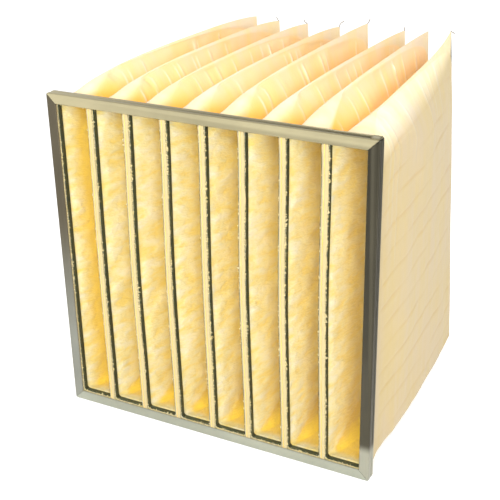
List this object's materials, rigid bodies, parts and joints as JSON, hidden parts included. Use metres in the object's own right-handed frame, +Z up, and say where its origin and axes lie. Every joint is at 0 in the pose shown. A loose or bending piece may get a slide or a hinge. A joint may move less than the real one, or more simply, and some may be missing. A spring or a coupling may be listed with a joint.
{
  "type": "bag air filter",
  "caption": "Pocket air filter: square folded steel header frame with a row of deep sewn fibre pockets, each mouth held open by a steel retainer loop.",
  "frame": {"origin": "middle of the bounding box at its lowest point, which is the rear bottom corners of the pockets", "axes": "+Z up along the height of the header frame, +Y downstream from the header towards the pockets' rear seams, +X across the row of pockets"},
  "size_m": [0.592, 0.6, 0.6502],
  "materials": {
    "header_steel": "galvanised sheet, softly mottled, satin",
    "retainer_steel": "galvanised strip, satin",
    "pocket_media": "lofted pale yellow fibre with a cream cover cloth"
  },
  "bodies": {
    "root": {"header_frame": "header_steel", "retainer_1": "retainer_steel", "retainer_2": "retainer_steel", "retainer_3": "retainer_steel", "retainer_4": "retainer_steel", "retainer_5": "retainer_steel", "retainer_6": "retainer_steel", "retainer_7": "retainer_steel", "retainer_8": "retainer_steel", "pocket_1": "pocket_media", "pocket_2": "pocket_media", "pocket_3": "pocket_media", "pocket_4": "pocket_media", "pocket_5": "pocket_media", "pocket_6": "pocket_media", "pocket_7": "pocket_media", "pocket_8": "pocket_media"}
  },
  "joints": []
}
